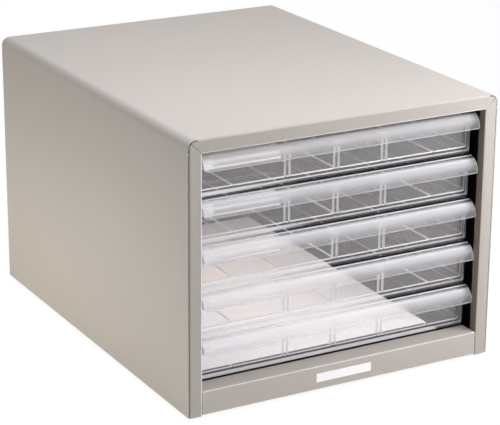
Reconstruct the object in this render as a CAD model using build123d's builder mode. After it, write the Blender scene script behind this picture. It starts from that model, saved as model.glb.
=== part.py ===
from build123d import *
import os

# Desktop drawer unit: a painted steel case with clear drawers that slide out to the front.
# Millimetres, +Z up. The front faces -Y. The origin is the middle of the footprint, on the desk.

# Case, outside; the depth takes in the plate on the front
case_width = 275.0
case_depth = 350.0
case_height = 220.0
corner_radius = 7.0
sheet = 0.8
bend_radius = 1.0
foot_lift = 3.0

# Front frame: posts, top flange and the seam round them
post_width = 11.75
flange_drop = 11.3
return_depth = 8.0
post_leg_depth = 14.0
weld_step_depth = 4.0
top_bend_radius = 1.5
seam_gap = 0.6
shell_setback = 0.8
mitre_gap = 0.3

# Bottom rail, base and back
rail_lift = 1.0
rail_height = 19.4
ledge_past_tray = 1.1
rail_end_gap = 0.3
hem_width = 8.0
hem_clearance = 1.0
base_side_gap = 0.3
back_recess = 0.8
back_turn = 12.0
back_turn_margin = 14.0

# Plate on the rail and feet under the base
plate_length = 50.0
plate_height = 7.2
plate_thickness = 0.4
plate_corner = 0.6
foot_radius = 8.0
foot_inset = 24.0
foot_edge = 0.8

# Drawers: how they share the opening
drawer_count = 5
front_gap = 3.0
rail_gap = 2.7
top_gap = 3.1
drawer_slot = 1.1
rear_gap = 16.4

# Tray walls, lip and ribs
lip_setback = 2.6
lip_reach = 12.8
lip_radius = 11.8
lip_wall = 1.8
lip_drop = 12.9
lip_left_corner = 4.0
lip_right_corner = 1.2
front_wall = 2.0
side_wall = 2.0
floor_wall = 2.0
skirt_drop = 3.9
side_shortfall = 1.7
body_corner = 3.0
cavity_corner = 1.0
floor_rib_spacing = 90.0
floor_rib_width = 1.2
floor_rib_height = 0.8
divider_spacing = 43.5
divider_rib_pitch = 4.0
divider_rib_width = 1.0
divider_rib_depth = 1.5
divider_shortfall = 7.7

# Label holder under the left part of the lip
holder_margin = 1.5
holder_length = 64.5
holder_plug = 8.0
holder_gap = 0.3
holder_wall = 0.9
holder_bead = 0.5
holder_bead_angle = 148.0

# Blank sheet that labels are cut from, in the lowest drawer: A4, standing in for a few leaves
card_width = 210.0
card_length = 297.0
card_thickness = 0.4
card_gap = 1.5
card_rest = 0.3

# Runner panels beside the trays
runner_clearance = 1.0
ledge_width = 7.0
ledge_gap = 0.3
runner_start_gap = 0.5
runner_back_gap = 1.4
runner_top_margin = 12.0

# Places worked out from the sizes above
half_width = case_width / 2
front_y = -case_depth / 2 + plate_thickness
rear_y = case_depth / 2
case_bottom = foot_lift
case_top = case_bottom + case_height
inner_half = half_width - sheet
seam_inset = sheet + seam_gap
opening_half = half_width - post_width
flange_bottom = case_top - flange_drop
rail_top = case_bottom + rail_lift + rail_height
base_bottom = case_bottom + sheet
base_top = base_bottom + sheet
back_front_y = rear_y - back_recess - sheet

tray_half = opening_half - front_gap
stack_height = flange_bottom - top_gap - rail_top - rail_gap
tray_height = (stack_height - (drawer_count - 1) * drawer_slot) / drawer_count
drawer_pitch = tray_height + drawer_slot
lip_front_y = front_y + lip_setback
wall_front_y = lip_front_y + lip_reach
wall_back_y = wall_front_y + front_wall
arc_center_y = lip_front_y + lip_radius
rail_back_y = wall_back_y + ledge_past_tray
tray_rear_y = back_front_y - rear_gap

runner_inner = tray_half + runner_clearance
runner_front_y = rail_back_y + runner_start_gap
runner_rear_y = back_front_y - back_turn - runner_back_gap
runner_top = case_top - runner_top_margin

front_plane = Plane.XZ.offset(-front_y)
os.makedirs("parts", exist_ok=True)


def tray_bottom(number):
    """Height of the lower edge of a tray's front wall. Drawer 1 is the top one."""
    return rail_top + rail_gap + (drawer_count - number) * drawer_pitch


def keep(piece, name):
    """Name a finished piece and write its file."""
    piece.part.label = name
    export_step(piece.part, f"parts/{name}.step")


# Front outline of the frame inside the seam: posts and flange ends stay within it
with BuildSketch() as frame_outline:
    with BuildLine():
        outline_half = half_width - seam_inset
        outline_top = case_top - seam_inset
        corner = corner_radius - seam_inset
        start = Line((-outline_half, case_bottom), (-outline_half, outline_top - corner))
        left_arc = TangentArc(start @ 1, (-outline_half + corner, outline_top), tangent=start % 1)
        ridge = Line(left_arc @ 1, (outline_half - corner, outline_top))
        right_arc = TangentArc(ridge @ 1, (outline_half, outline_top - corner), tangent=ridge % 1)
        Polyline(right_arc @ 1, (outline_half, case_bottom), (-outline_half, case_bottom))
    make_face()

# Case shell: one sheet bent over both top corners, hemmed at the bottom, with a front flange
with BuildPart() as case_shell:
    with BuildSketch(front_plane.offset(-shell_setback)) as wrap_section:
        with BuildLine() as wrap_line:
            FilletPolyline(
                (-half_width + hem_width, case_bottom),
                (-half_width, case_bottom),
                (-half_width, case_top),
                (half_width, case_top),
                (half_width, case_bottom),
                (half_width - hem_width, case_bottom),
                radius=[bend_radius, corner_radius, corner_radius, bend_radius],
            )
            offset(amount=sheet, side=Side.RIGHT)
        make_face()
    extrude(amount=-(rear_y - front_y - shell_setback))
    # The hems start behind the posts and end at the back panel
    for hem_start, hem_end in (
        (front_y, front_y + post_leg_depth + hem_clearance),
        (back_front_y, rear_y),
    ):
        with BuildSketch(Plane.XY.offset(case_bottom)):
            with Locations((0, (hem_start + hem_end) / 2)):
                Rectangle(2 * inner_half, hem_end - hem_start)
        extrude(amount=2 * bend_radius, mode=Mode.SUBTRACT)

# Top flange: the sheet runs over the front edge, down, and back again as a narrow return
with BuildPart() as top_flange:
    with BuildSketch(Plane.YZ.offset(-outline_half)):
        with BuildLine():
            FilletPolyline(
                (front_y + return_depth, case_top),
                (front_y, case_top),
                (front_y, flange_bottom),
                (front_y + return_depth, flange_bottom),
                radius=[top_bend_radius, bend_radius],
            )
            offset(amount=sheet, side=Side.LEFT)
        make_face()
    extrude(amount=2 * outline_half)
    # Its ends follow the rounded seam and stop at the mitres over the posts
    with BuildSketch(front_plane):
        add(frame_outline.sketch_local)
        with Locations((0, case_top - flange_drop / 2)):
            Rectangle(2 * (half_width - corner_radius - bend_radius), flange_drop)
        with BuildLine():
            mitre_foot = opening_half - mitre_gap / 2
            mitre_run = outline_half - mitre_foot
            Polyline(
                (-mitre_foot, flange_bottom),
                (-outline_half, flange_bottom + mitre_run),
                (-outline_half, case_bottom),
                (outline_half, case_bottom),
                (outline_half, flange_bottom + mitre_run),
                (mitre_foot, flange_bottom),
                close=True,
            )
        make_face(mode=Mode.SUBTRACT)
    extrude(amount=-return_depth, mode=Mode.INTERSECT)

with BuildPart() as shell:
    add(case_shell.part)
    add(top_flange.part)
keep(shell, "case_shell")

# Left post: leg along the side, face and return in one bent strip
with BuildPart() as post_left:
    with BuildSketch(Plane.XY.offset(case_bottom)):
        with BuildLine():
            FilletPolyline(
                (-opening_half, front_y + return_depth),
                (-opening_half, front_y),
                (-half_width + seam_inset, front_y),
                (-half_width + seam_inset, front_y + post_leg_depth),
                radius=bend_radius,
            )
            offset(amount=sheet, side=Side.RIGHT)
        make_face()
        # The leg's rear part steps out to meet the side of the shell
        step_center = (
            -half_width + sheet + seam_inset / 2,
            front_y + post_leg_depth - weld_step_depth / 2,
        )
        with Locations(step_center):
            Rectangle(seam_inset, weld_step_depth)
    extrude(amount=case_height)
    # The head is cut to the mitre and to the rounded seam
    with BuildSketch(front_plane) as post_head:
        with BuildLine():
            mitre_start = opening_half + mitre_gap / 2
            Polyline(
                (-opening_half, case_bottom),
                (-opening_half, flange_bottom - mitre_gap / 2),
                (-mitre_start, flange_bottom),
                (-inner_half, flange_bottom + inner_half - mitre_start),
                (-inner_half, case_bottom),
                close=True,
            )
        make_face()
        add(frame_outline.sketch_local, mode=Mode.INTERSECT)
        with Locations((-inner_half + seam_gap / 2, (case_bottom + case_top - corner_radius) / 2)):
            Rectangle(seam_gap, case_height - corner_radius)
    extrude(amount=-post_leg_depth, mode=Mode.INTERSECT)
keep(post_left, "post_left")

with BuildPart() as post_right:
    mirror(post_left.part, about=Plane.YZ)
keep(post_right, "post_right")

# Bottom rail between the posts: face, ledge, and a rear leg that stands on the base
rail_half = opening_half - rail_end_gap
with BuildPart() as bottom_rail:
    with BuildSketch(Plane.YZ.offset(-rail_half)):
        with BuildLine():
            FilletPolyline(
                (front_y, case_bottom + rail_lift),
                (front_y, rail_top),
                (rail_back_y, rail_top),
                (rail_back_y, base_top),
                radius=bend_radius,
            )
            offset(amount=sheet, side=Side.RIGHT)
        make_face()
    extrude(amount=2 * rail_half)
keep(bottom_rail, "bottom_rail")

# Base: a flat sheet on the shell's hems, narrower where it runs forward between the posts
with BuildPart() as base_panel:
    with BuildSketch(Plane.XY.offset(base_bottom)):
        base_wide_y = front_y + post_leg_depth + hem_clearance
        with Locations((0, (base_wide_y + back_front_y) / 2)):
            Rectangle(2 * (inner_half - base_side_gap), back_front_y - base_wide_y)
        base_front_y = front_y + sheet + rail_end_gap
        with Locations((0, (base_front_y + base_wide_y) / 2)):
            Rectangle(2 * rail_half, base_wide_y - base_front_y)
    extrude(amount=sheet)
keep(base_panel, "base_panel")

# Back: a recessed sheet with its sides turned in along the shell
with BuildPart() as back_panel:
    with BuildSketch(Plane.XZ.offset(-back_front_y)):
        back_height = case_height - sheet
        with Locations((0, case_bottom + back_height / 2)):
            Rectangle(2 * inner_half, back_height)
        top_corners = vertices().group_by(Axis.Y)[-1]
        fillet(top_corners, corner_radius - sheet)
    extrude(amount=-sheet)
    turn_height = case_height - 2 * back_turn_margin
    with BuildSketch(Plane.XZ.offset(-back_front_y)):
        with Locations((0, case_bottom + case_height / 2)):
            Rectangle(2 * inner_half, turn_height)
            Rectangle(2 * (inner_half - sheet), turn_height, mode=Mode.SUBTRACT)
    extrude(amount=back_turn)
keep(back_panel, "back_panel")

# Left runner panel: a folded channel along the side, with a ledge under each tray
with BuildPart() as runner_left:
    with BuildSketch(Plane.XZ.offset(-runner_front_y)):
        with BuildLine():
            FilletPolyline(
                (-inner_half, base_top),
                (-runner_inner, base_top),
                (-runner_inner, runner_top),
                (-inner_half, runner_top),
                radius=bend_radius,
            )
            offset(amount=sheet, side=Side.LEFT)
        make_face()
        for number in range(1, drawer_count + 1):
            ledge_top = tray_bottom(number) + skirt_drop - floor_wall - ledge_gap
            with Locations((-runner_inner + ledge_width / 2 - sheet / 2, ledge_top - sheet / 2)):
                Rectangle(ledge_width + sheet, sheet)
    extrude(amount=-(runner_rear_y - runner_front_y))
keep(runner_left, "runner_panel_left")

with BuildPart() as runner_right:
    mirror(runner_left.part, about=Plane.YZ)
keep(runner_right, "runner_panel_right")

# Bare plate in the middle of the rail
with BuildPart() as rail_plate:
    with BuildSketch(front_plane):
        with Locations((0, case_bottom + rail_lift + rail_height / 2)):
            RectangleRounded(plate_length, plate_height, plate_corner)
    extrude(amount=plate_thickness)
keep(rail_plate, "rail_plate")

# Feet: rubber discs under the base, near its corners
foot_height = base_bottom
foot_x = half_width - foot_inset
foot_y = case_depth / 2 - foot_inset
for foot_number, (x, y) in enumerate(
    ((-foot_x, -foot_y), (foot_x, -foot_y), (-foot_x, foot_y), (foot_x, foot_y)), start=1
):
    with BuildPart() as foot:
        with BuildSketch():
            with Locations((x, y)):
                Circle(foot_radius)
        extrude(amount=foot_height)
        chamfer(edges().group_by(Axis.Z)[0], foot_edge)
    keep(foot, f"foot_{foot_number}")


def make_tray(bottom):
    """One clear tray, moulded in one piece, whose front wall ends at the height bottom."""
    top = bottom + tray_height
    floor_top = bottom + skirt_drop
    floor_bottom = floor_top - floor_wall
    side_top = top - side_shortfall
    cavity_half = tray_half - side_wall
    with BuildPart() as tray:
        # Front wall and lip in one section: the lip curls forward and down from the top edge
        with BuildSketch(Plane.YZ.offset(-tray_half)):
            with BuildLine():
                Polyline(
                    (arc_center_y, top - lip_wall),
                    (wall_front_y, top - lip_wall),
                    (wall_front_y, bottom),
                    (wall_back_y, bottom),
                    (wall_back_y, top),
                    (arc_center_y, top),
                )
                CenterArc((arc_center_y, top - lip_radius), lip_radius, 90, 90)
                Polyline(
                    (lip_front_y, top - lip_radius),
                    (lip_front_y, top - lip_drop),
                    (lip_front_y + lip_wall, top - lip_drop),
                    (lip_front_y + lip_wall, top - lip_radius),
                )
                CenterArc((arc_center_y, top - lip_radius), lip_radius - lip_wall, 90, 90)
            make_face()
        extrude(amount=2 * tray_half)
        lower_corners = edges().filter_by(Axis.Y).group_by(Axis.Z)[0].group_by(Axis.X)
        fillet(lower_corners[0] + lower_corners[-1], body_corner)
        # The lip's lower corners are rounded in the front view
        with BuildSketch(Plane.XZ.offset(-wall_front_y)):
            for side, radius in ((-1, lip_left_corner), (1, lip_right_corner)):
                with Locations((side * (tray_half - radius / 2), top - lip_drop + radius / 2)):
                    Rectangle(radius, radius)
                with Locations((side * (tray_half - radius), top - lip_drop + radius)):
                    Circle(radius, mode=Mode.SUBTRACT)
        extrude(amount=lip_reach, mode=Mode.SUBTRACT)
        # Body behind the wall, hollowed from above
        with BuildSketch(Plane.XZ.offset(-wall_front_y)):
            with Locations((0, (floor_bottom + side_top) / 2)):
                Rectangle(2 * tray_half, side_top - floor_bottom)
            fillet(vertices().group_by(Axis.Y)[0], body_corner)
        extrude(amount=-(tray_rear_y - wall_front_y))
        with BuildSketch(Plane.XZ.offset(-wall_back_y)):
            with Locations((0, (floor_top + top) / 2)):
                Rectangle(2 * cavity_half, top - floor_top)
            fillet(vertices().group_by(Axis.Y)[0], cavity_corner)
        extrude(amount=-(tray_rear_y - side_wall - wall_back_y), mode=Mode.SUBTRACT)
        # Three low ribs run along the floor
        with BuildSketch(Plane.XZ.offset(-wall_back_y)):
            with Locations((0, floor_top + floor_rib_height / 2 - cavity_corner / 2)):
                with GridLocations(floor_rib_spacing, 0, 3, 1):
                    Rectangle(floor_rib_width, floor_rib_height + cavity_corner)
        extrude(amount=-(tray_rear_y - side_wall - wall_back_y))
        # Pairs of upright ribs inside the front and rear walls hold a divider
        divider_top = top - divider_shortfall
        for wall_y, into in ((wall_back_y, 1), (tray_rear_y - side_wall, -1)):
            with BuildSketch(Plane.XY.offset(floor_top)):
                with Locations((0, wall_y + into * divider_rib_depth / 2)):
                    with GridLocations(divider_spacing, 0, 3, 1):
                        with GridLocations(divider_rib_pitch, 0, 2, 1):
                            Rectangle(divider_rib_width, divider_rib_depth)
            extrude(amount=divider_top - floor_top)
    return tray


def make_holder(bottom):
    """The label holder of one tray: a curved strip that follows the lip, with an end plug."""
    top = bottom + tray_height
    outer = lip_radius - lip_wall - holder_gap
    inner = outer - holder_wall
    center_z = top - lip_radius
    left = -tray_half + holder_margin
    with BuildPart() as holder:
        with BuildSketch(Plane.YZ.offset(left)):
            with BuildLine():
                outer_arc = CenterArc((arc_center_y, center_z), outer, 90, 90)
                inner_arc = CenterArc((arc_center_y, center_z), inner, 90, 90)
                Line(outer_arc @ 1, inner_arc @ 1)
                Polyline(
                    outer_arc @ 0,
                    (wall_front_y, center_z + outer),
                    (wall_front_y, center_z + inner),
                    inner_arc @ 0,
                )
            make_face()
            # A bead along the strip's inner side marks where a label is pushed in
            with Locations((arc_center_y, center_z)):
                with PolarLocations(inner, 1, start_angle=holder_bead_angle):
                    Circle(holder_bead)
        extrude(amount=holder_length)
        with BuildSketch(Plane.YZ.offset(left)):
            with BuildLine():
                plug_arc = CenterArc((arc_center_y, center_z), inner + holder_wall / 2, 90, 90)
                Polyline(
                    plug_arc @ 1,
                    (wall_front_y, center_z),
                    (wall_front_y, center_z + inner + holder_wall / 2),
                    plug_arc @ 0,
                )
            make_face()
        extrude(amount=holder_plug)
    return holder


# The sheet lies on the floor ribs of the lowest tray, against its left side and its front
with BuildPart() as label_sheet:
    sheet_bottom = tray_bottom(drawer_count) + skirt_drop + floor_rib_height + card_rest
    sheet_x = -tray_half + side_wall + card_gap + card_width / 2
    sheet_y = wall_back_y + divider_rib_depth + card_gap + card_length / 2
    with BuildSketch(Plane.XY.offset(sheet_bottom)):
        with Locations((sheet_x, sheet_y)):
            Rectangle(card_width, card_length)
    extrude(amount=card_thickness)
keep(label_sheet, "label_sheet")

for drawer_number in range(1, drawer_count + 1):
    keep(make_tray(tray_bottom(drawer_number)), f"tray_{drawer_number}")
    keep(make_holder(tray_bottom(drawer_number)), f"label_holder_{drawer_number}")
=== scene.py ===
# %% [markdown]
# # A desktop drawer unit, dressed for a picture
# The real object is a painted steel case that holds five clear plastic drawers for sheets of
# paper. Its shapes come as a fixed model in metres, measured from the middle of its footprint,
# with the front facing -Y. Every piece of the real object is in that model already, so none is
# added. This lesson gives each piece its finish, rounds the knife edges of the drawers and of
# the front frame, and sets up a camera and plain studio light.

import math

import bpy
import numpy as np
from mathutils import Matrix, Vector


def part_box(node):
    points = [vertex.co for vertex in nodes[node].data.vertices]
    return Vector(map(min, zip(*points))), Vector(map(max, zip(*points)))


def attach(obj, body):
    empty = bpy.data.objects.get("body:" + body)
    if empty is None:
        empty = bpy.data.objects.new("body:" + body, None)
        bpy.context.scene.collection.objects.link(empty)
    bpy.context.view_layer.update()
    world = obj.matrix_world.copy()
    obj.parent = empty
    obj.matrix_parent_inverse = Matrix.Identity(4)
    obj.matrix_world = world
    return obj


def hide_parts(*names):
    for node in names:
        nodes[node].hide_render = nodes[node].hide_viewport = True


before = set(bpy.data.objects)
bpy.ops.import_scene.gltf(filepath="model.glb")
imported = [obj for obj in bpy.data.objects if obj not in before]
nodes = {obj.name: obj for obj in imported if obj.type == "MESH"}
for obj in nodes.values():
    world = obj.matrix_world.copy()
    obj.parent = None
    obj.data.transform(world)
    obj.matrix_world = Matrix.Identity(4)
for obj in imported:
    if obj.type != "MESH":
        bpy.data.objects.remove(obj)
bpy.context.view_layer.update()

# %% [markdown]
# ## The camera
# The picture was taken from the left and from above, about 1.7 metres away. A camera is a
# place, a direction and a focal length. All three were worked out from the straight edges of
# the case, so they are written here as numbers. The image is 500 by 425 pixels.

# %% Camera
MM = 0.001
IMAGE_WIDTH = 500
SENSOR_WIDTH = 36.0
FOCAL_PIXELS = 1982.17
camera_place = Vector((-766.98, -1389.82, 639.08)) * MM
azimuth, elevation, roll = (math.radians(a) for a in (-29.28, 18.96, 0.41))

look = Vector((
    -math.sin(azimuth) * math.cos(elevation),
    math.cos(azimuth) * math.cos(elevation),
    -math.sin(elevation),
))
level_right = look.cross(Vector((0, 0, 1))).normalized()
level_up = level_right.cross(look)
right = level_right * math.cos(roll) + level_up * math.sin(roll)
up = level_up * math.cos(roll) - level_right * math.sin(roll)
turn = Matrix((right, up, -look)).transposed().to_4x4()

camera_data = bpy.data.cameras.new("camera")
camera_data.sensor_width = SENSOR_WIDTH
camera_data.lens = FOCAL_PIXELS * SENSOR_WIDTH / IMAGE_WIDTH
camera = bpy.data.objects.new("camera", camera_data)
camera.matrix_world = Matrix.Translation(camera_place) @ turn
bpy.context.scene.collection.objects.link(camera)
bpy.context.scene.camera = camera
print("lens in mm:", round(camera_data.lens, 1))

# %% [markdown]
# ## Helpers for finishes
# A finish is a small network of shader nodes. It could be wired node by node, but a few helpers
# keep each recipe short: one starts a material, one adds a node and wires its inputs by name,
# and the others are the sums and blends that come back in every recipe.

# %% Node helpers
def start_finish(name):
    """A new material, with its node tree, its Principled shader and its output node."""
    material = bpy.data.materials.new(name)
    material.use_nodes = True
    tree = material.node_tree
    return material, tree, tree.nodes["Principled BSDF"], tree.nodes["Material Output"]


def add_node(tree, kind, inputs=None, **settings):
    """Adds a node. An input is a plain value, or another node's output to be wired in."""
    node = tree.nodes.new("ShaderNode" + kind)
    for key, value in settings.items():
        setattr(node, key, value)
    for key, value in (inputs or {}).items():
        socket = node.inputs[key]
        if isinstance(value, bpy.types.NodeSocket):
            tree.links.new(value, socket)
        else:
            socket.default_value = value
    return node


def combine(tree, operation, first, second):
    """A maths node on two values."""
    return add_node(tree, "Math", {0: first, 1: second}, operation=operation).outputs[0]


def flip(tree, mask):
    """One less the mask, which turns it round."""
    return combine(tree, "SUBTRACT", 1.0, mask)


def remap(tree, value, low, high, new_low, new_high):
    """Carries a value from one range to another and holds it inside."""
    ends = {"From Min": low, "From Max": high, "To Min": new_low, "To Max": new_high}
    return add_node(tree, "MapRange", {"Value": value, **ends}).outputs["Result"]


def within(tree, value, low, high):
    """1 where the value lies between low and high, else 0."""
    settings = {0: value, 1: (low + high) / 2, 2: (high - low) / 2}
    return add_node(tree, "Math", settings, operation="COMPARE").outputs[0]


def blend_colours(tree, share, first, second):
    """The first colour where the share is 0, the second where it is 1, a blend between."""
    settings = {"Factor": share, "A": first, "B": second}
    return add_node(tree, "Mix", settings, data_type="RGBA").outputs["Result"]


def blend_shaders(tree, share, first, second):
    """The first shader where the share is 0, the second where it is 1, a blend between."""
    return add_node(tree, "MixShader", {0: share, 1: first, 2: second}).outputs[0]


def srgb(red, green, blue):
    """A colour as a screen shows it, 0 to 255, in the linear values that shaders take."""
    parts = np.array([red, green, blue]) / 255
    linear = np.where(parts <= 0.04045, parts / 12.92, ((parts + 0.055) / 1.055) ** 2.4)
    return (*linear.tolist(), 1.0)


print("a middle grey of 128 on screen is", round(srgb(128, 128, 128)[0], 3), "to a shader")

# %% [markdown]
# ## Place and noise
# No real surface is perfectly even. Noise makes paint drift in tone and gives a skin its tiny
# bumps. It could be painted in an image, but noise that is worked out from the place on the
# piece needs none, never repeats, and stays still on a piece that moves.

# %% Place and noise
NOISE_LOW, NOISE_HIGH = 0.3, 0.7


def spot_on_piece(tree):
    """The place of a point in its piece's own coordinates: outputs X, Y and Z."""
    return add_node(tree, "SeparateXYZ", {"Vector": add_node(tree, "TexCoord").outputs["Object"]})


def piece_noise(tree, scale, detail=2.0, stretch=(1, 1, 1)):
    """Noise that sits still on the piece: its place on the piece, stretched, feeds it."""
    place = add_node(tree, "TexCoord").outputs["Object"]
    mapping = add_node(tree, "Mapping", {"Vector": place, "Scale": stretch})
    settings = {"Vector": mapping.outputs[0], "Scale": scale, "Detail": detail}
    return add_node(tree, "TexNoise", settings).outputs["Fac"]


def noise_between(tree, noise, low, high):
    """Noise carried to low and high. Nearly all of it lies from NOISE_LOW to NOISE_HIGH."""
    return remap(tree, noise, NOISE_LOW, NOISE_HIGH, low, high)


def cover(tree, shader, colour, roughness, relief, strength, depth):
    """Wires a colour, a roughness and a bump, depth metres deep, into a shader."""
    bump = add_node(tree, "Bump", {"Height": relief, "Strength": strength, "Distance": depth})
    tree.links.new(colour, shader.inputs["Base Color"])
    tree.links.new(roughness, shader.inputs["Roughness"])
    tree.links.new(bump.outputs[0], shader.inputs["Normal"])


def set_finish(material, *names):
    """Gives the named frame nodes one finish."""
    for name in names:
        nodes[name].data.materials.clear()
        nodes[name].data.materials.append(material)
    print(material.name, "on", ", ".join(names))

# %% [markdown]
# ## Painted steel: where the painted shade and highlights lie
# The case is sheet steel under a satin enamel in a warm light grey. Inside the case, a dark
# painted shade stands in for the shade that falls there. The sheets could be split into an outer
# and an inner piece, but one material can hold both, because the way a face looks, outward or
# towards the middle of the case, says which it gets. The turned-back sides of the posts get a
# lighter painted shade, and the folds of the front frame a pale painted highlight. Each of these
# is a mask: 1 where it shows, else 0.

# %% Painted steel: where the painted shade and highlights lie
RETURN_DEPTH = 8.4 * MM
FLANGE_DROP = 11.3 * MM
FOLD_WIDTH = 0.9 * MM
SLACK = 0.1 * MM
SIDEWAYS = 0.7
shell_low, shell_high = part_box("case_shell")


# Mask for the painted shade inside the case.
def inside_shade_mask(tree):
    """1 on faces that look towards the middle of the case from behind the front frame, else 0."""
    spot = add_node(tree, "TexCoord")
    middle = (shell_low + shell_high) / 2
    sides = {0: spot.outputs["Object"], 1: middle}
    from_middle = add_node(tree, "VectorMath", sides, operation="SUBTRACT").outputs[0]
    sides = {0: from_middle, 1: spot.outputs["Normal"]}
    outward = add_node(tree, "VectorMath", sides, operation="DOT_PRODUCT").outputs["Value"]
    inner = combine(tree, "LESS_THAN", outward, 0.0)
    frame_back = shell_low.y + RETURN_DEPTH
    behind = combine(tree, "GREATER_THAN", spot_on_piece(tree).outputs["Y"], frame_back)
    return combine(tree, "MULTIPLY", inner, behind)


def turned_back(tree):
    """1 on the faces of the posts that look sideways into the opening, else 0. Painted shade goes
    there.
    """
    facing = add_node(tree, "SeparateXYZ", {"Vector": add_node(tree, "TexCoord").outputs["Normal"]})
    side = combine(tree, "SIGN", spot_on_piece(tree).outputs["X"], 0.0)
    outward = combine(tree, "MULTIPLY", side, facing.outputs["X"])
    return combine(tree, "LESS_THAN", outward, -SIDEWAYS)


def along(*ranges):
    """Makes a mask that is 1 in all the ranges at once. A range is an axis, from and to."""
    def mask(tree):
        place = spot_on_piece(tree)
        inside = 1.0
        for axis, low, high in ranges:
            inside = combine(tree, "MULTIPLY", inside, within(tree, place.outputs[axis], low, high))
        return inside
    return mask


front_face = ("Y", shell_low.y - SLACK, shell_low.y + FOLD_WIDTH)
flange_foot = shell_high.z - FLANGE_DROP
post_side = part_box("post_left")[1].x
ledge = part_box("bottom_rail")[1].z
# Masks for the painted highlights along the folds: flange, posts and ledge.
flange_fold = along(front_face, ("Z", flange_foot - SLACK, flange_foot + FOLD_WIDTH))
post_fold = along(front_face, ("X", post_side - FOLD_WIDTH, post_side + SLACK))
ledge_fold = along(front_face, ("Z", ledge - FOLD_WIDTH, ledge + SLACK))
print("folds in mm:", [round(v / MM, 1) for v in (flange_foot, post_side, ledge)])

# %% [markdown]
# ## Painted steel: the enamel
# Sprayed enamel isn't quite flat: it has a fine pebbled skin under a millimetre across, and its
# colour drifts a little over a large panel. One noise does each. The rounded edges take a paler
# pair of tones, a painted highlight along each bend.

# %% Painted steel: the enamel
DRIFT_SCALE, DRIFT_DETAIL = 9.0, 3.0
PEBBLE_SCALE, PEBBLE_STRENGTH, PEBBLE_DEPTH = 1100.0, 0.10, 0.06 * MM
SATIN = (0.42, 0.52)
ENAMEL = (srgb(183, 174, 161), srgb(187, 178, 165))
# Painted highlight on the rounded edges of the posts and the rail.
ENAMEL_EDGE_HIGHLIGHT = (srgb(222, 216, 209), srgb(228, 222, 215))
# Painted shade for the inside of the case, where the shade falls.
INSIDE_SHADE = srgb(34, 29, 26)
# Painted shade on the turned-back sides of the posts, which face away from the lamps.
RETURN_SHADE = srgb(132, 118, 105)
# Painted highlights along the folds of the front frame and along the ledge.
FOLD_GLINT = srgb(250, 247, 243)
LEDGE_GLINT = srgb(206, 199, 190)


def make_enamel(name, tones, *coats):
    """The satin enamel between two tones. Each painted shade or highlight is a mask and its colour.
    """
    material, tree, shader, _ = start_finish(name)
    colour = blend_colours(tree, piece_noise(tree, DRIFT_SCALE, DRIFT_DETAIL), *tones)
    for mask, coat in coats:
        colour = blend_colours(tree, mask(tree), colour, coat)
    pebbles = piece_noise(tree, PEBBLE_SCALE)
    sheen = noise_between(tree, pebbles, *SATIN)
    cover(tree, shader, colour, sheen, pebbles, PEBBLE_STRENGTH, PEBBLE_DEPTH)
    return material


rail_enamel = make_enamel("rail_enamel", ENAMEL, (ledge_fold, LEDGE_GLINT))
post_enamel = make_enamel("post_enamel", ENAMEL, (turned_back, RETURN_SHADE), (post_fold, FOLD_GLINT))
# Painted shade inside the case, and a painted highlight on the flange fold.
shaded_coats = (inside_shade_mask, INSIDE_SHADE), (flange_fold, FOLD_GLINT)
enamel_with_shade = make_enamel("enamel_with_painted_shade", ENAMEL, *shaded_coats)
edge_highlight_enamel = make_enamel("edge_highlight_enamel", ENAMEL_EDGE_HIGHLIGHT)
set_finish(enamel_with_shade, "case_shell", "base_panel", "back_panel")

# %% [markdown]
# ## Dark steel
# The runner panels inside carry the drawers. They are near black, which keeps the inside of the
# case dark, with the same pebbled skin as the enamel, rubbed a little brighter where the drawers
# slide. The noise is drawn out along Y, the way the drawers go, so it becomes streaks.

# %% Dark steel
STREAK_SCALE, STREAK_DETAIL, STREAK_STRETCH = 160.0, 3.0, (1.0, 0.03, 1.0)
DULL_TO_RUBBED = (0.55, 0.4)
NEAR_BLACK = (srgb(16, 15, 15), srgb(34, 33, 33))


def make_dark_steel():
    """Near black, with the same pebbled skin as the enamel, brighter and smoother in the streaks.
    """
    material, tree, shader, _ = start_finish("dark_steel")
    streaks = piece_noise(tree, STREAK_SCALE, STREAK_DETAIL, STREAK_STRETCH)
    colour = blend_colours(tree, streaks, *NEAR_BLACK)
    sheen = noise_between(tree, streaks, *DULL_TO_RUBBED)
    pebbles = piece_noise(tree, PEBBLE_SCALE)
    cover(tree, shader, colour, sheen, pebbles, PEBBLE_STRENGTH, PEBBLE_DEPTH)
    return material


set_finish(make_dark_steel(), "runner_panel_left", "runner_panel_right")

# %% [markdown]
# ## Clear plastic: a point's place in its drawer
# The five drawers are equal and stacked at an even pitch. Each could have its own finish, but
# one recipe serves them all if it knows how far a point lies behind the lip's front, and how
# high above the bottom of its own drawer. The remainder of its height after whole pitches gives
# the second.

# %% Clear plastic: a point's place in its drawer
DRAWERS = range(1, 6)
WALL_FRONT, WALL_BACK = 12.8 * MM, 14.8 * MM
WRAP_SLACK = 0.2 * MM
tray_low, tray_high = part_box("tray_5")
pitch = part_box("tray_4")[0].z - tray_low.z
tray_height = tray_high.z - tray_low.z


def place_in_drawer(tree):
    """Depth behind the lip's front, and height above the drawer's own bottom.

    The height is the remainder of z over whole pitches. The slack keeps a point at the very
    bottom from counting as one high up in the drawer below.
    """
    place = spot_on_piece(tree)
    depth = combine(tree, "SUBTRACT", place.outputs["Y"], tray_low.y)
    lifted = combine(tree, "SUBTRACT", place.outputs["Z"], tray_low.z - WRAP_SLACK)
    height = combine(tree, "FLOORED_MODULO", lifted, pitch)
    return depth, combine(tree, "SUBTRACT", height, WRAP_SLACK)


def below_top(tree, height):
    """How far a point lies under its drawer's top edge."""
    return combine(tree, "SUBTRACT", tray_height, height)


def in_lip(tree, depth):
    """1 on the lip, which is all that lies before the front wall, else 0."""
    return combine(tree, "LESS_THAN", depth, WALL_FRONT - SLACK)


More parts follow.
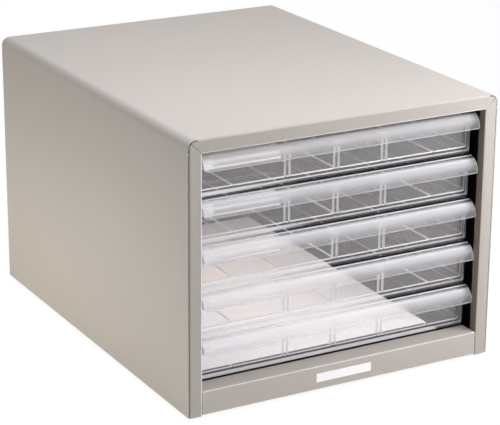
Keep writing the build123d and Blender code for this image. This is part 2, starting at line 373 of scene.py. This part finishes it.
print("drawer height and pitch in mm:", round(tray_height / MM, 2), round(pitch / MM, 2))

# %% [markdown]
# ## Clear plastic: where it is hazy
# Real clear mouldings glow along every rim, rib and inner corner, because light that is caught
# in the sheet gets out there. A path tracer finds that light only by luck. So it is painted: a
# pale haze is turned up by place as a painted highlight. A curve gives it from the top of the lip
# downward, another does so for the label holder, and a table lists the strips that glow.

# %% Clear plastic: where highlights are painted as haze
LIP_END, LIP_OVERHANG, HAZE_AT_END = 2.0 * MM, 8.0 * MM, 0.6
HAZE_WALL = 0.10
PLUG_LENGTH, PLUG_HAZE = 8.0 * MM, 0.90

# Painted highlight, as a share of haze, against the drop below the drawer's top edge, in
# millimetres
LIP_HIGHLIGHT_HAZE = (
    (0.0, 0.0), (0.12, 0.0), (0.16, 0.95), (0.45, 0.95), (0.55, 0.0),
    (1.2, 0.04), (2.2, 0.74), (4.0, 0.46), (8.0, 0.22), (12.0, 0.11),
)
HOLDER_HIGHLIGHT_HAZE = (
    (0.0, 0.36), (2.0, 0.43), (2.6, 1.0), (3.6, 0.17), (5.6, 0.17),
    (6.4, 0.94), (7.4, 0.17), (9.4, 0.2), (10.4, 1.0), (11.4, 0.22),
)

# Each glowing strip, a painted highlight: from and to in depth behind the lip's front, from and to
# in height above the drawer's bottom, all in millimetres, and its share of haze.
GLOWING = (
    (14.7, 15.5, 3.3, 5.2, 1.00),    # the corner between the front wall and the floor
    (16.2, 400.0, 4.3, 4.8, 0.80),   # the tops of the ribs on the floor
    (15.0, 16.4, 5.1, 28.3, 0.55),   # the divider ribs behind the front wall
    (-0.1, 2.0, 22.6, 23.1, 0.70),   # the lower rim of the lip
    (12.7, 13.0, 1.7, 2.2, 0.80),    # the line low on the front wall
)


def curve(tree, value, points):
    """Reads a result off straight lines through points of a value in millimetres and a result."""
    first, last = points[0][0], points[-1][0]
    ramp = add_node(tree, "ValToRGB", {"Fac": remap(tree, value, first * MM, last * MM, 0.0, 1.0)})
    stops = ramp.color_ramp.elements
    while len(stops) < len(points):
        stops.new(0.5)
    for stop, (at, result) in zip(stops, points):
        stop.position = (at - first) / (last - first)
        stop.color = (result, result, result, 1.0)
    return add_node(tree, "SeparateColor", {"Color": ramp.outputs["Color"]}).outputs["Red"]


def lip_highlight_haze(tree, depth, height):
    """Painted highlight of the lip, as haze: its curve over the drop from the top, less towards
    both ends.
    """
    haze = curve(tree, below_top(tree, height), LIP_HIGHLIGHT_HAZE)
    haze = combine(tree, "MULTIPLY", haze, in_lip(tree, depth))
    off_middle = combine(tree, "ABSOLUTE", spot_on_piece(tree).outputs["X"], 0.0)
    from_end = combine(tree, "SUBTRACT", tray_high.x, off_middle)
    fade = remap(tree, from_end, LIP_END, LIP_OVERHANG, HAZE_AT_END, 1.0)
    return combine(tree, "MULTIPLY", haze, fade)


def tray_highlight_haze(tree, depth, height):
    """Haze and painted highlight of a tray: the most that the lip, the front wall or a glowing
    strip gives a point.
    """
    in_wall = within(tree, depth, WALL_FRONT - SLACK, WALL_BACK + SLACK)
    wall = combine(tree, "MULTIPLY", in_wall, HAZE_WALL)
    haze = combine(tree, "MAXIMUM", lip_highlight_haze(tree, depth, height), wall)
    for near, far, low, high, glow in GLOWING:
        in_depth = within(tree, depth, near * MM, far * MM)
        strip = combine(tree, "MULTIPLY", in_depth, within(tree, height, low * MM, high * MM))
        haze = combine(tree, "MAXIMUM", haze, combine(tree, "MULTIPLY", strip, glow))
    return haze


def holder_highlight_haze(tree, depth, height):
    """Painted highlight of a label holder, as haze: bright lengthwise lines, and a cloudier plug at
    the left end.
    """
    lines = curve(tree, below_top(tree, height), HOLDER_HIGHLIGHT_HAZE)
    plug_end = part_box("label_holder_5")[0].x + PLUG_LENGTH
    plug = combine(tree, "LESS_THAN", spot_on_piece(tree).outputs["X"], plug_end)
    return combine(tree, "MAXIMUM", lines, combine(tree, "MULTIPLY", plug, PLUG_HAZE))


print("strips that glow:", len(GLOWING))

# %% [markdown]
# ## Clear plastic: dark corners
# The flat top edge and the foot of the front wall do the opposite: they trap light and look
# almost black. That is painted shade, a dark tint on the view through them, left out where the
# white sheet in the lowest drawer lights them from below. The higher up a drawer is, the less far
# to the right that happens, so the border is a slanted line, and high up it is soft. Where the
# sheet does light the foot of the wall, painted light turns the foot pale.

# %% Clear plastic: dark corners
SHEET_SLANT = 1.42
SOFT_ABOVE, SOFTENING, SHARPEST = 100.0 * MM, 1.2, 0.5 * MM
TOP_FROM, FOOT_FROM, CORNERS_TO = 6.5 * MM, 12.6 * MM, 15.2 * MM
TOP_SKIN, DARK_FOOT, LIT_FOOT = 0.6 * MM, 1.6 * MM, 3.4 * MM
# Painted highlight on the rounded edges of the drawers.
EDGE_HIGHLIGHT_HAZE = 0.92
sheet_low, sheet_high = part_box("label_sheet")


def beside_sheet(tree):
    """1 right of the border up to which the white sheet lights a corner, and 0 left of it.

    The border lies at the sheet's right edge, less the slant times the height above the sheet.
    It is as wide as the softening times the height above SOFT_ABOVE, and never sharper than
    SHARPEST.
    """
    place = spot_on_piece(tree)
    above_sheet = combine(tree, "SUBTRACT", place.outputs["Z"], sheet_high.z)
    reach = combine(tree, "MULTIPLY", above_sheet, SHEET_SLANT)
    border = combine(tree, "SUBTRACT", sheet_high.x, reach)
    high_up = combine(tree, "SUBTRACT", place.outputs["Z"], SOFT_ABOVE)
    softness = combine(tree, "MAXIMUM", combine(tree, "MULTIPLY", high_up, SOFTENING), SHARPEST)
    past_border = combine(tree, "SUBTRACT", place.outputs["X"], border)
    return remap(tree, combine(tree, "DIVIDE", past_border, softness), 0.0, 1.0, 0.0, 1.0)


def at_foot(tree, depth, height, top):
    """1 at the foot of the front wall, up to the height top, else 0."""
    in_foot = within(tree, depth, FOOT_FROM, CORNERS_TO)
    return combine(tree, "MULTIPLY", in_foot, combine(tree, "LESS_THAN", height, top))


def dark_corners(tree, depth, height):
    """Where painted shade goes: 1 on the flat top edge and at the foot of the front wall where no
    sheet lights them.
    """
    high_up = combine(tree, "GREATER_THAN", height, tray_height - TOP_SKIN)
    on_top = combine(tree, "MULTIPLY", within(tree, depth, TOP_FROM, CORNERS_TO), high_up)
    corners = combine(tree, "MAXIMUM", on_top, at_foot(tree, depth, height, DARK_FOOT))
    return combine(tree, "MULTIPLY", corners, beside_sheet(tree))


def lit_foot(tree, depth, height):
    """Where painted light goes: 1 at the foot of the front wall where the white sheet lights it,
    else 0.
    """
    foot = at_foot(tree, depth, height, LIT_FOOT)
    return combine(tree, "MULTIPLY", foot, flip(tree, beside_sheet(tree)))


def edge_highlight_haze(tree, depth, height):
    """Painted highlight of the rounded edges, as haze: pale everywhere but in the dark corners."""
    pale = combine(tree, "MULTIPLY", flip(tree, dark_corners(tree, depth, height)), EDGE_HIGHLIGHT_HAZE)
    return combine(tree, "MAXIMUM", pale, tray_highlight_haze(tree, depth, height))


print("right edge of the white sheet in mm:", round(sheet_high.x / MM, 1))

# %% [markdown]
# ## Clear plastic: the recipe
# The drawers are clear polystyrene. Real refraction could bend the view, but their walls are
# thin with two flat faces, so the view goes straight through, and a Transparent shader shows
# that with far less noise. A Glossy shader adds the reflection, in a share that a Fresnel node
# sets, on outward faces alone. The haze, which carries the painted highlights and painted light,
# is a pale mix of Diffuse and Translucent. Light from the lamps is let straight through, so the
# inside of the case isn't left dark.

# %% Clear plastic: the recipe
IOR = 1.59
FLOW_SCALE, FLOW_DETAIL, FLOW_STRETCH = 22.0, 2.0, (0.35, 1.0, 1.0)
FLOW_STRENGTH, FLOW_DEPTH = 0.04, 0.8 * MM
LIP_ROUGH, WALL_ROUGH = 0.35, 0.06
ROUGH_UNTIL, SMOOTH_FROM = WALL_FRONT - 7.0 * MM, WALL_FRONT - 4.0 * MM
OUTER_SHINE, INNER_SHINE = (1.0, 0.98, 0.97, 1.0), (1.0, 0.92, 0.91, 1.0)
# The second tint is painted shade, for the dark corners.
CLEAR, CORNER_SHADE = (0.978, 0.968, 0.964, 1.0), (0.05, 0.045, 0.045, 1.0)
BOTH_FACES, INNER_FACES, FACES_FADE = 1.4, 0.35, 0.2 * MM
TOP_SHINE, TOP_SHINE_UNTIL, FULL_SHINE_FROM = 0.12, 0.6 * MM, 1.9 * MM
HAZE_TINT, HAZE_THROUGH = (0.99, 0.965, 0.93, 1.0), 0.3
# The first is painted light on the foot of the front wall, from the white sheet below.
FOOT_LIGHT_HAZE, HAZE_FAR_SIDE = 0.60, 0.30
LET_PASS = (0.99, 0.99, 0.99, 1.0)


def clear_sheet(tree, depth, height, outside):
    """The view through a wall, tinted dark as painted shade in the dark corners, with its
    reflection over it.
    """
    flow = piece_noise(tree, FLOW_SCALE, FLOW_DETAIL, FLOW_STRETCH)
    swell = {"Height": flow, "Strength": FLOW_STRENGTH, "Distance": FLOW_DEPTH}
    bump = add_node(tree, "Bump", swell).outputs[0]
    roughness = remap(tree, depth, ROUGH_UNTIL, SMOOTH_FROM, LIP_ROUGH, WALL_ROUGH)
    behind_lip = combine(tree, "GREATER_THAN", depth, WALL_FRONT - SLACK)
    gleam = blend_colours(tree, behind_lip, OUTER_SHINE, INNER_SHINE)
    gloss = {"Color": gleam, "Roughness": roughness, "Normal": bump}
    shine = add_node(tree, "BsdfGlossy", gloss).outputs[0]
    tint = blend_colours(tree, dark_corners(tree, depth, height), CLEAR, CORNER_SHADE)
    through = add_node(tree, "BsdfTransparent", {"Color": tint}).outputs[0]
    fresnel = add_node(tree, "Fresnel", {"IOR": IOR, "Normal": bump}).outputs[0]
    faces = remap(tree, depth, WALL_BACK, WALL_BACK + FACES_FADE, BOTH_FACES, INNER_FACES)
    drop = below_top(tree, height)
    off_top = remap(tree, drop, TOP_SHINE_UNTIL, FULL_SHINE_FROM, TOP_SHINE, 1.0)
    faces = combine(tree, "MULTIPLY", faces, off_top)
    mirrored = combine(tree, "MULTIPLY", combine(tree, "MULTIPLY", fresnel, faces), outside)
    return blend_shaders(tree, mirrored, through, shine)


def make_clear_plastic(name, haze_of):
    """Clear plastic whose haze is given by haze_of, from the depth and height in the drawer."""
    material, tree, principled, output = start_finish(name)
    tree.nodes.remove(principled)
    depth, height = place_in_drawer(tree)
    outside = flip(tree, add_node(tree, "NewGeometry").outputs["Backfacing"])
    front = add_node(tree, "BsdfDiffuse", {"Color": HAZE_TINT}).outputs[0]
    back = add_node(tree, "BsdfTranslucent", {"Color": HAZE_TINT}).outputs[0]
    haze = blend_shaders(tree, HAZE_THROUGH, front, back)
    foot = combine(tree, "MULTIPLY", lit_foot(tree, depth, height), FOOT_LIGHT_HAZE)
    share = combine(tree, "MAXIMUM", haze_of(tree, depth, height), foot)
    inner_lip = combine(tree, "MULTIPLY", in_lip(tree, depth), flip(tree, outside))
    far_side = remap(tree, inner_lip, 0.0, 1.0, 1.0, HAZE_FAR_SIDE)
    share = combine(tree, "MULTIPLY", share, far_side)
    seen = blend_shaders(tree, share, clear_sheet(tree, depth, height, outside), haze)
    path = add_node(tree, "LightPath").outputs
    passing = combine(tree, "MAXIMUM", path["Is Shadow Ray"], path["Is Diffuse Ray"])
    straight = add_node(tree, "BsdfTransparent", {"Color": LET_PASS}).outputs[0]
    surface = blend_shaders(tree, passing, seen, straight)
    tree.links.new(surface, output.inputs["Surface"])
    print(name, "has", len(tree.nodes), "shader nodes")
    return material


clear_plastic = make_clear_plastic("clear_polystyrene", tray_highlight_haze)
# The rounded edges of the drawers get a painted highlight.
pale_edge_highlight = make_clear_plastic("polystyrene_edge_highlight", edge_highlight_haze)
holder_plastic = make_clear_plastic("holder_polystyrene", holder_highlight_haze)

# %% [markdown]
# ## Rounded edges
# A mould leaves every edge slightly round, and so does the bend of a sheet, and a round edge is
# what catches the light. The frame's own meshes have knife edges and are left alone. So each
# drawer piece, each post and the rail is copied, its loose triangles are joined, and a Bevel
# modifier rounds its sharp edges. The new narrow faces take a paler finish, a painted highlight.
# On the drawers, flat neighbours are merged first. On the steel they aren't, because a merged face
# can close a hole. The case shell keeps its own mesh, because a Bevel shades its long bends
# wrongly.

# %% Rounded edges
import bmesh

JOIN_WITHIN = 0.15 * MM
FLAT, SHARP = math.radians(1.0), math.radians(30)
STEEL_ROUNDING, TRAY_ROUNDING, HOLDER_ROUNDING = 0.45 * MM, 0.30 * MM, 0.15 * MM
ROUNDING_STEPS = 2


def joined_copy(node, name, merge_flat):
    """A copy of a frame node's mesh with its doubled vertices joined."""
    mesh = nodes[node].data.copy()
    mesh.name = name
    shape = bmesh.new()
    shape.from_mesh(mesh)
    bmesh.ops.remove_doubles(shape, verts=shape.verts, dist=JOIN_WITHIN)
    if merge_flat:
        bmesh.ops.dissolve_limit(shape, angle_limit=FLAT, verts=shape.verts, edges=shape.edges)
    shape.to_mesh(mesh)
    shape.free()
    mesh.shade_smooth()
    mesh.set_sharp_from_angle(angle=SHARP)
    return mesh


def rounded_copy(node, name, body, width, finishes, merge_flat=True):
    """A joined copy of a frame node with rounded edges, riding on a body in the node's place.

    The first finish goes on its faces and the last one on the rounded edges.
    """
    mesh = joined_copy(node, name, merge_flat)
    mesh.materials.clear()
    for finish in finishes:
        mesh.materials.append(finish)
    piece = bpy.data.objects.new(name, mesh)
    bpy.context.scene.collection.objects.link(piece)
    bevel = piece.modifiers.new("rounding", "BEVEL")
    bevel.width = width
    bevel.segments = ROUNDING_STEPS
    bevel.limit_method = "ANGLE"
    bevel.angle_limit = SHARP
    bevel.use_clamp_overlap = False
    bevel.miter_outer = "MITER_ARC"
    bevel.harden_normals = True
    bevel.material = len(finishes) - 1
    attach(piece, body)
    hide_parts(node)
    return piece


steel_pieces = {
    node: rounded_copy(
        node, f"enamelled_{node}", "case",
        STEEL_ROUNDING, [finish, edge_highlight_enamel], merge_flat=False,
    )
    for node, finish in (
        ("post_left", post_enamel), ("post_right", post_enamel), ("bottom_rail", rail_enamel),
    )
}

clear_pieces = [
    rounded_copy(
        f"{node}_{n}", f"{name}_{n}", f"drawer_{n}",
        width, [finish, pale_edge_highlight],
    )
    for n in DRAWERS
    for node, name, width, finish in (
        ("tray", "clear_tray", TRAY_ROUNDING, clear_plastic),
        ("label_holder", "clear_holder", HOLDER_ROUNDING, holder_plastic),
    )
]
print("rounded pieces:", len(steel_pieces), "of steel and", len(clear_pieces), "of plastic")

# %% [markdown]
# ## Sheet, plate and feet
# An A4 sheet that labels are cut from lies in the lowest drawer and is seen through all the
# others. A small white plastic plate sits bare in the middle of the rail, and four rubber discs
# carry the case. All are plain shapes, so the finish does the work: two close tones drift into
# each other, and a bump of a few hundredths of a millimetre keeps the surface from being dead
# flat. On the paper the grain is finest, as fibres are.

# %% Sheet, plate and feet
def make_grainy(name, tones, scale, detail, roughness, strength, depth):
    """Two close tones mixed by a fine noise, which also sets the roughness and the bump."""
    material, tree, shader, _ = start_finish(name)
    grain = piece_noise(tree, scale, detail)
    colour = blend_colours(tree, grain, *tones)
    cover(tree, shader, colour, noise_between(tree, grain, *roughness), grain, strength, depth)
    return material


PAPER = (srgb(247, 241, 238), srgb(251, 246, 243))
PLATE = (srgb(255, 250, 240), srgb(255, 252, 244))
RUBBER = (srgb(30, 30, 30), srgb(44, 43, 42))
white_paper = make_grainy("white_paper", PAPER, 1500.0, 4.0, (0.75, 0.9), 0.2, 0.05 * MM)
plate_white = make_grainy("plate_white", PLATE, 900.0, 3.0, (0.30, 0.40), 0.3, 0.03 * MM)
rubber = make_grainy("foot_rubber", RUBBER, 700.0, 3.0, (0.65, 0.75), 0.3, 0.1 * MM)
set_finish(white_paper, "label_sheet")
set_finish(plate_white, "rail_plate")
set_finish(rubber, *[f"foot_{n}" for n in range(1, 5)])

# %% [markdown]
# ## Studio: floor and backdrop
# The floor and the background read as pure white to the camera, in reflections and in the clear
# plastic, but light the object only at a plain level. A brighter white would do that too, but
# would flood the object with light, so Light Path tells the two uses apart. The floor keeps a
# little of its own shading, so the object's shadow shows on it.

# %% Studio: floor and backdrop
WHITE = (1.0, 1.0, 1.0, 1.0)
WORLD_LIGHT = 0.15
FLOOR_WHITE = 0.80
FLOOR_GLOW, FLOOR_SEEN_WHITE = 1.1, 0.85
FLOOR_REACH = 4.0


def seen_directly(tree):
    """1 for rays from the camera, also by way of a mirror or through glass, else 0."""
    path = add_node(tree, "LightPath").outputs
    first = combine(tree, "MAXIMUM", path["Is Camera Ray"], path["Is Glossy Ray"])
    return combine(tree, "MAXIMUM", first, path["Is Transmission Ray"])


def make_floor():
    """A flat square, far larger than the picture, at the height that the feet stand on."""
    sides = (-1, -1), (1, -1), (1, 1), (-1, 1)
    corners = [(x * FLOOR_REACH, y * FLOOR_REACH, 0) for x, y in sides]
    mesh = bpy.data.meshes.new("floor")
    mesh.from_pydata(corners, [], [(0, 1, 2, 3)])
    floor = bpy.data.objects.new("floor", mesh)
    bpy.context.scene.collection.objects.link(floor)
    material, tree, shader, output = start_finish("white_floor")
    tree.nodes.remove(shader)
    grey = (FLOOR_WHITE, FLOOR_WHITE, FLOOR_WHITE, 1.0)
    lit = add_node(tree, "BsdfDiffuse", {"Color": grey}).outputs[0]
    white = add_node(tree, "Emission", {"Color": WHITE, "Strength": FLOOR_GLOW}).outputs[0]
    share = combine(tree, "MULTIPLY", seen_directly(tree), FLOOR_SEEN_WHITE)
    surface = blend_shaders(tree, share, lit, white)
    tree.links.new(surface, output.inputs["Surface"])
    mesh.materials.append(material)


world = bpy.data.worlds.new("studio")
world.use_nodes = True
bpy.context.scene.world = world
sky = world.node_tree
backdrop = sky.nodes["Background"]
backdrop.inputs["Color"].default_value = WHITE
brightness = remap(sky, seen_directly(sky), 0.0, 1.0, WORLD_LIGHT, 1.0)
sky.links.new(brightness, backdrop.inputs["Strength"])
make_floor()
print("floor:", 2 * FLOOR_REACH, "metres square, white to the camera")

# %% [markdown]
# ## Studio: lamps
# The lamps are large soft boxes, as in a product picture: a big one overhead, smaller ones in
# front, to the right and behind, and two low on the left that stand for warm white cards.
# Three more light only some of the pieces, by light linking. The sheet gets light from all
# sides through the clear drawers, and the hazy lips catch light inside the plastic, most of all
# in the top drawer, where the flange shades the lip. A path tracer finds that light by luck only.

# %% Studio: lamps
OVER, COOL = (0.95, 1.0, 1.18), (0.97, 0.99, 1.09)
NEUTRAL, WARM = (1.0, 1.0, 1.0), (1.04, 1.0, 0.94)
PAPER_LAMP_Y, PAPER_LAMP_Z = 0.01, 0.19
RAY_BOUNCES = 24


def soft_box(name, place, aim, size, power, colour, mirrored):
    """A rectangular lamp at place that faces aim, in metres and watts. Mirrored: shine shows it."""
    data = bpy.data.lights.new(name, "AREA")
    data.shape = "RECTANGLE"
    data.size, data.size_y = size
    data.energy = power
    data.color = colour
    lamp = bpy.data.objects.new(name, data)
    lamp.visible_glossy = mirrored
    lamp.location = place
    lamp.rotation_mode = "QUATERNION"
    lamp.rotation_quaternion = (Vector(place) - Vector(aim)).to_track_quat("Z", "Y")
    bpy.context.scene.collection.objects.link(lamp)
    return lamp


def light_only(lamp, pieces):
    """Keeps a lamp's light to the given objects."""
    lit = bpy.data.collections.new(lamp.name + "_lights")
    for piece in pieces:
        lit.objects.link(piece)
    lamp.light_linking.receiver_collection = lit


# Name, place, aim, size, watts, colour, and whether a shiny surface shows the lamp
LAMPS = (
    ("box_over", (-0.12, -0.1, 1.3), (-0.05, 0.0, 0.2), (0.8, 0.8), 5.2, OVER, True),
    ("box_over_front", (-0.12, -0.21, 0.62), (-0.07, -0.12, 0.22), (0.5, 0.3), 1.0, OVER, False),
    ("box_front_right", (0.25, -0.60, 0.75), (0.05, -0.12, 0.08), (0.4, 0.3), 2.7, COOL, False),
    ("box_right_close", (0.30, -0.36, 0.31), (0.13, -0.17, 0.17), (0.15, 0.15), 0.88, COOL, False),
    ("box_back", (0.35, 1.2, 0.6), (0.0, 0.17, 0.1), (0.8, 0.5), 2.0, NEUTRAL, False),
    ("card_left", (-0.30, 0.0, 0.03), (-0.1375, 0.0, 0.02), (0.5, 0.05), 0.18, WARM, True),
    ("card_left_back", (-0.40, 0.20, 0.05), (-0.1375, 0.12, 0.04), (0.4, 0.08), 0.20, WARM, True),
)
for lamp in LAMPS:
    soft_box(*lamp)

paper_x = (sheet_low.x + sheet_high.x) / 2
over_paper = (paper_x, PAPER_LAMP_Y, PAPER_LAMP_Z)
under_lamp = (paper_x, PAPER_LAMP_Y, sheet_high.z)
low_front = [steel_pieces["bottom_rail"], nodes["rail_plate"]]
top_drawer = clear_pieces[:2]

# The same, and the pieces that the lamp lights
LINKED_LAMPS = (
    (("box_paper", over_paper, under_lamp, (0.18, 0.16), 0.34, NEUTRAL, False),
     [nodes["label_sheet"]]),
    (("box_plastic", (-0.15, -0.95, 0.42), (0.0, -0.17, 0.12), (0.5, 0.3), 1.05, COOL, False),
     clear_pieces + low_front),
    (("box_top_drawer", (0.0, -0.80, 0.34), (0.02, -0.17, 0.20), (0.4, 0.2), 1.1, COOL, False),
     top_drawer),
)
for lamp, pieces in LINKED_LAMPS:
    light_only(soft_box(*lamp), pieces)

view = bpy.context.scene.view_settings
view.view_transform = "Standard"
cycles = bpy.context.scene.cycles
cycles.transparent_max_bounces = RAY_BOUNCES
cycles.max_bounces = RAY_BOUNCES
cycles.transmission_bounces = RAY_BOUNCES
print("lamps:", len(LAMPS), "for all pieces and", len(LINKED_LAMPS), "for some")
